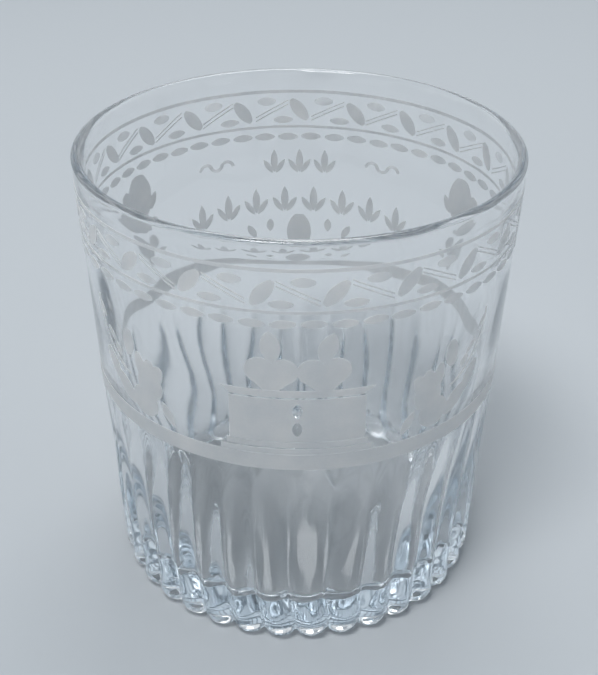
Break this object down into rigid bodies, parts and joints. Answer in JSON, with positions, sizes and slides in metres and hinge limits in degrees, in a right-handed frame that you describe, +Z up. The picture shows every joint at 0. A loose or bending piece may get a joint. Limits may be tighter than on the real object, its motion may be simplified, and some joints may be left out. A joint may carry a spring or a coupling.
{
  "type": "engraved glass tumbler",
  "caption": "Conical clear glass tumbler with a ribbed, ball-footed lower half, a frosted waist ring and a wheel-engraved frieze, altar with two hearts, flower sprays and garland.",
  "frame": {"origin": "centre of the resting face under the foot, on the axis of the glass", "axes": "+Z up along the axis of the glass, front of the decoration (altar and hearts) facing -Y"},
  "size_m": [0.08, 0.08, 0.086],
  "materials": {
    "clear_glass": "clear, very slightly blue-grey, fire-polished",
    "ground_glass": "matt wheel-ground frosting"
  },
  "bodies": {
    "root": {"glass_body": "clear_glass", "frieze_upper_line": "ground_glass", "frieze_lower_line": "ground_glass", "frieze_leaves": "ground_glass", "frieze_threads": "ground_glass", "frieze_upper_ovals": "ground_glass", "frieze_lower_ovals": "ground_glass", "frieze_beads": "ground_glass", "waist_band": "ground_glass", "altar_block": "ground_glass", "altar_cornice": "ground_glass", "altar_steps": "ground_glass", "altar_hearts": "ground_glass", "altar_flames": "ground_glass", "left_spray": "ground_glass", "right_spray": "ground_glass", "left_bouquet": "ground_glass", "right_bouquet": "ground_glass", "back_garland": "ground_glass", "back_scrolls": "ground_glass", "back_medallion": "ground_glass"}
  },
  "joints": []
}
